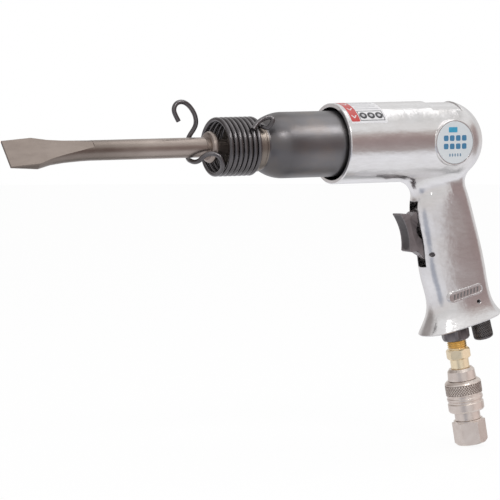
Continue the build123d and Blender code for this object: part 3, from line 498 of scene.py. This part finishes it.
def floor():
    """A plain white sheet under the tool, which the metal doesn't mirror."""
    bm = bmesh.new()
    bmesh.ops.create_circle(bm, cap_ends=True, radius=FLOOR_R, segments=96)
    mesh = bpy.data.meshes.new("floor")
    bm.to_mesh(mesh)
    bm.free()
    obj = bpy.data.objects.new("floor", mesh)
    obj.location = (0, 0, FLOOR_Z)
    bpy.context.scene.collection.objects.link(obj)
    t = Tree("floor_white")
    glow = t.add("ShaderNodeEmission")
    glow.inputs["Strength"].default_value = 1.02
    t.fill(t.bsdf, Base_Color=(0.9, 0.9, 0.9, 1), Roughness=0.9)
    blend = t.add("ShaderNodeMixShader")
    blend.inputs[0].default_value = 0.9
    t.join(t.bsdf.outputs[0], blend.inputs[1])
    t.join(glow.outputs[0], blend.inputs[2])
    t.join(blend.outputs[0], t.nodes["Material Output"].inputs["Surface"])
    mesh.materials.append(t.material)
    obj.visible_glossy = False
    obj.visible_diffuse = False


def grey_ramp(nodes, links, source, stops):
    """Ramp over -1..1 with (place, brightness) stops."""
    scale = nodes.new("ShaderNodeMath")
    scale.operation = "MULTIPLY_ADD"
    scale.inputs[1].default_value, scale.inputs[2].default_value = 0.5, 0.5
    links.new(source, scale.inputs[0])
    ramp = nodes.new("ShaderNodeValToRGB")
    while len(ramp.color_ramp.elements) < len(stops):
        ramp.color_ramp.elements.new(0.5)
    for element, (spot, colour) in zip(ramp.color_ramp.elements, stops):
        element.position = (spot + 1) / 2
        element.color = (*colour, 1) if isinstance(colour, tuple) else (colour, colour, colour, 1)
    links.new(scale.outputs[0], ramp.inputs[0])
    return ramp.outputs[0]


def world():
    """White to the eye. What the metal mirrors is a pale room: a bright table below, lamps above,
    a warm brown wall at eye height towards the rear of the tool, and three soft dark patches."""
    w = bpy.data.worlds.new("studio")
    w.use_nodes = True
    bpy.context.scene.world = w
    nodes, links = w.node_tree.nodes, w.node_tree.links
    split = nodes.new("ShaderNodeSeparateXYZ")
    links.new(nodes.new("ShaderNodeTexCoord").outputs["Generated"], split.inputs[0])
    pale = grey_ramp(nodes, links, split.outputs[2], (
        (-1.0, 0.76), (-0.8, (0.84, 0.84, 0.86)), (-0.55, (0.87, 0.87, 0.90)), (-0.3, (0.76, 0.76, 0.79)),
        (0.0, (0.73, 0.71, 0.705)), (0.3, 0.70), (0.52, 0.85), (0.68, 0.84), (0.8, 0.66), (0.9, 0.70),
        (1.0, 0.74)))
    wall = grey_ramp(nodes, links, split.outputs[2], (
        (-1.0, 0.76), (-0.8, (0.84, 0.84, 0.86)), (-0.52, (0.87, 0.87, 0.90)), (-0.40, (0.72, 0.71, 0.73)),
        (-0.32, (0.43, 0.385, 0.375)), (0.02, (0.34, 0.27, 0.265)), (0.24, (0.38, 0.30, 0.29)),
        (0.40, (0.52, 0.46, 0.44)), (0.52, 0.83), (0.68, 0.84), (0.8, 0.66), (0.9, 0.70), (1.0, 0.74)))
    side = nodes.new("ShaderNodeMath")
    side.operation = "MULTIPLY"
    for index, stops in enumerate((((-1.0, 0.0), (0.13, 0.0), (0.28, 1.0)),
                                   ((-1.0, 1.0), (-0.02, 1.0), (0.2, 0.0)))):
        links.new(grey_ramp(nodes, links, split.outputs[index], stops), side.inputs[index])
    shaded = nodes.new("ShaderNodeMix")
    shaded.data_type = "RGBA"
    links.new(side.outputs[0], shaded.inputs[0])
    links.new(pale, shaded.inputs[6])
    links.new(wall, shaded.inputs[7])
    for way, start, full, tint in (((0.48, 0.2, -0.85), 0.95, 0.99, 0.42),
                                   ((-0.68, -0.60, -0.40), 0.93, 0.985, (0.52, 0.55, 0.61)),
                                   ((-0.62, 0.66, 0.40), 0.78, 0.95, (0.46, 0.43, 0.42))):
        toward = nodes.new("ShaderNodeVectorMath")
        toward.operation = "DOT_PRODUCT"
        toward.inputs[1].default_value = Vector(way).normalized()
        links.new(nodes["Texture Coordinate"].outputs["Generated"], toward.inputs[0])
        shade = grey_ramp(nodes, links, toward.outputs["Value"], ((-1.0, 1.0), (start, 1.0), (full, tint)))
        before, shaded = shaded, nodes.new("ShaderNodeMix")
        shaded.data_type, shaded.blend_type = "RGBA", "MULTIPLY"
        shaded.inputs[0].default_value = 1.0
        links.new(before.outputs[2], shaded.inputs[6])
        links.new(shade, shaded.inputs[7])
    seen, unseen = nodes.new("ShaderNodeBackground"), nodes["Background"]
    seen.inputs["Color"].default_value = (1, 1, 1, 1)
    links.new(shaded.outputs[2], unseen.inputs["Color"])
    unseen.inputs["Strength"].default_value = 1.0
    rays, mix = nodes.new("ShaderNodeLightPath"), nodes.new("ShaderNodeMixShader")
    links.new(rays.outputs["Is Camera Ray"], mix.inputs[0])
    links.new(unseen.outputs[0], mix.inputs[1])
    links.new(seen.outputs[0], mix.inputs[2])
    links.new(mix.outputs[0], nodes["World Output"].inputs["Surface"])


def softbox(name, place, target, size, power, colour=(1, 1, 1), only=()):
    """A soft lamp; only names the CAD nodes it lights, where it isn't meant for all of them."""
    data = bpy.data.lights.new(name, "AREA")
    data.shape, data.size, data.size_y = "RECTANGLE", size[0], size[1]
    data.energy, data.color = power, colour
    obj = bpy.data.objects.new(name, data)
    obj.location = place
    obj.rotation_mode = "QUATERNION"
    obj.rotation_quaternion = (Vector(target) - Vector(place)).to_track_quat("-Z", "Y")
    bpy.context.scene.collection.objects.link(obj)
    if only:
        lit = bpy.data.collections.new(f"{name}_lit")
        for node in only:
            lit.objects.link(NODES[node])
        obj.light_linking.receiver_collection = lit


def camera():
    """A long lens, to the near side and slightly above, a little in front of the tool."""
    data = bpy.data.cameras.new("camera")
    data.sensor_width, data.lens = 36.0, 288.0
    data.clip_end = 50.0
    obj = bpy.data.objects.new("camera", data)
    turn, lift = math.radians(-29.8), math.radians(4.3)
    back = Vector((math.sin(turn) * math.cos(lift), -math.cos(turn) * math.cos(lift), math.sin(lift)))
    right = Vector((math.cos(turn), math.sin(turn), 0))
    up = back.cross(right)
    obj.matrix_world = Matrix((
        (right.x, up.x, back.x, -1.31852), (right.y, up.y, back.y, -2.19728),
        (right.z, up.z, back.z, 0.12430), (0, 0, 0, 1)))
    bpy.context.scene.collection.objects.link(obj)
    bpy.context.scene.camera = obj


floor()
world()
softbox("key", (-0.25, -1.5, 1.25), (0, 0, 0), (0.55, 0.4), 6.0, (1.0, 0.985, 0.97))
softbox("top", (0.4, -0.1, 1.7), (0, 0, 0), (1.6, 1.2), 5.0)
softbox("strip", (0.82, -0.84, 1.10), (-0.03, -0.018, 0.011), (1.0, 0.34), 5.2,
        only=("barrel", "retainer_spring"))
softbox("fill", (1.06, -0.72, -0.15), (0.1, 0, -0.15), (1.6, 1.2), 2.9,
        only=("nipple", "coupler_body", "coupler_sleeve", "coupler_tail"))
camera()
bpy.context.scene.view_settings.view_transform = "Standard"
